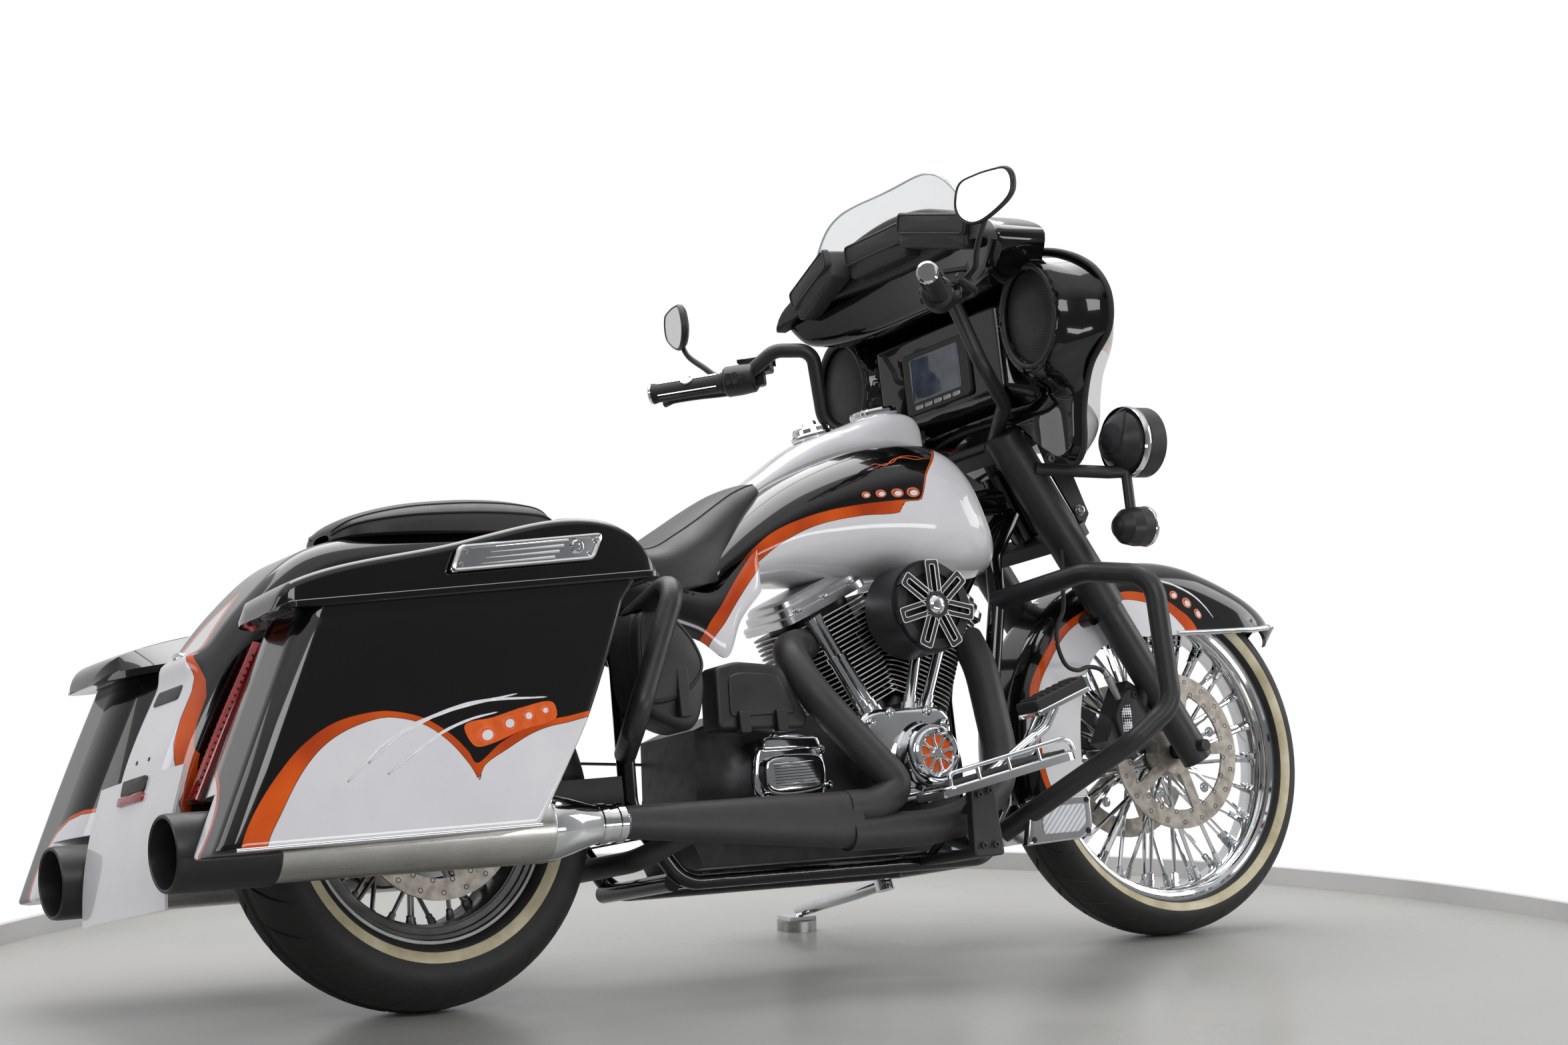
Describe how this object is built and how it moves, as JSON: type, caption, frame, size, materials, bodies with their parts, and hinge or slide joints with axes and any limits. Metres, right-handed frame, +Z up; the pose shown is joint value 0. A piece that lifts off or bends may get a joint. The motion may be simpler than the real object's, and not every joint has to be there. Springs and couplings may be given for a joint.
{
  "type": "touring motorcycle",
  "caption": "Touring motorcycle with batwing fairing, V-twin engine and hard saddlebags, leaning on its side stand; wheels, steering, bag lids and stand move.",
  "frame": {"origin": "on the floor under the centre of the parked bike's box", "axes": "+X forward, +Y to the rider's left, +Z up"},
  "size_m": [2.472, 1.1988, 1.4631],
  "materials": {
    "black_paint": "gloss",
    "white_paint": "gloss",
    "satin_black": "satin",
    "pipe_black": "satin",
    "chrome": "polished",
    "brushed": "brushed",
    "steel": "satin",
    "engine_black": "satin",
    "tyre_rubber": "matt",
    "rubber": "matt",
    "leather": "satin",
    "plastic": "matt",
    "gloss_plastic": "gloss",
    "red_lens": "gloss",
    "lamp_glass": "gloss",
    "screen": "gloss",
    "mirror_glass": "gloss"
  },
  "bodies": {
    "frame": {"frame_tubes": "black_paint", "rear_suspension": "satin_black", "engine_case": "engine_black", "engine_cylinders": "engine_black", "valve_gear": "chrome", "cam_cover": "chrome", "drive_covers": "chrome", "air_cleaner": "satin_black", "exhaust_headers": "pipe_black", "mufflers": "brushed", "muffler_tips": "satin_black", "drive_belt": "rubber", "fuel_tank": "white_paint", "tank_console": "white_paint", "rider_seat": "leather", "passenger_pad": "leather", "side_covers": "white_paint", "electrics_box": "plastic", "rear_fender": "black_paint", "fender_filler": "white_paint", "rear_lamps": "red_lens", "bag_tubs": "black_paint", "guard_bars": "satin_black", "floorboards": "chrome", "foot_controls": "chrome", "chin_fairing": "chrome"},
    "front_assembly": {"fork_uppers": "satin_black", "fork_lowers": "satin_black", "front_calipers": "satin_black", "front_fender": "white_paint", "fairing_shell": "white_paint", "fairing_dash": "gloss_plastic", "windscreen": "screen", "screen_pouch": "leather", "passing_lamps": "satin_black", "lamp_lenses": "lamp_glass", "handlebar": "satin_black", "hand_grips": "rubber", "hand_controls": "satin_black", "mirrors": "mirror_glass"},
    "front_wheel": {"front_tyre": "tyre_rubber", "front_rim": "chrome", "front_discs": "steel"},
    "rear_wheel": {"rear_tyre": "tyre_rubber", "rear_rim": "steel", "rear_disc": "steel"},
    "lid_right": {"bag_lid_right": "black_paint", "bag_latch_right": "chrome"},
    "lid_left": {"bag_lid_left": "black_paint", "bag_latch_left": "chrome"},
    "side_stand": {"side_stand": "chrome", "stand_puck": "steel"}
  },
  "joints": [
    {"name": "front_wheel_spin", "type": "hinge", "parent": "front_assembly", "child": "front_wheel", "pos_m": [0.89002, -0.14374, 0.34072], "axis": [0, 0.9808, -0.1949], "continuous": true},
    {"name": "rear_wheel_spin", "type": "hinge", "parent": "frame", "child": "rear_wheel", "pos_m": [-0.70598, -0.1487, 0.31576], "axis": [0, 0.9808, -0.1949], "continuous": true},
    {"name": "steering", "type": "hinge", "parent": "frame", "child": "front_assembly", "pos_m": [0.62402, -0.04539, 0.83559], "axis": [-0.4384, 0.1752, 0.8816], "range_deg": [-33, 33]},
    {"name": "side_stand_swing", "type": "hinge", "parent": "frame", "child": "side_stand", "pos_m": [0.33602, -0.03471, 0.11978], "axis": [-0.0418, 0.3503, 0.9357], "range_deg": [0, 80]},
    {"name": "right_lid_hinge", "type": "hinge", "parent": "frame", "child": "lid_right", "pos_m": [-0.70598, -0.27405, 0.64947], "axis": [-0.9981, -0.0119, -0.0597], "range_deg": [0, 60]},
    {"name": "left_lid_hinge", "type": "hinge", "parent": "frame", "child": "lid_left", "pos_m": [-0.70598, 0.09473, 0.57618], "axis": [0.9981, 0.0119, 0.0597], "range_deg": [0, 60]}
  ]
}
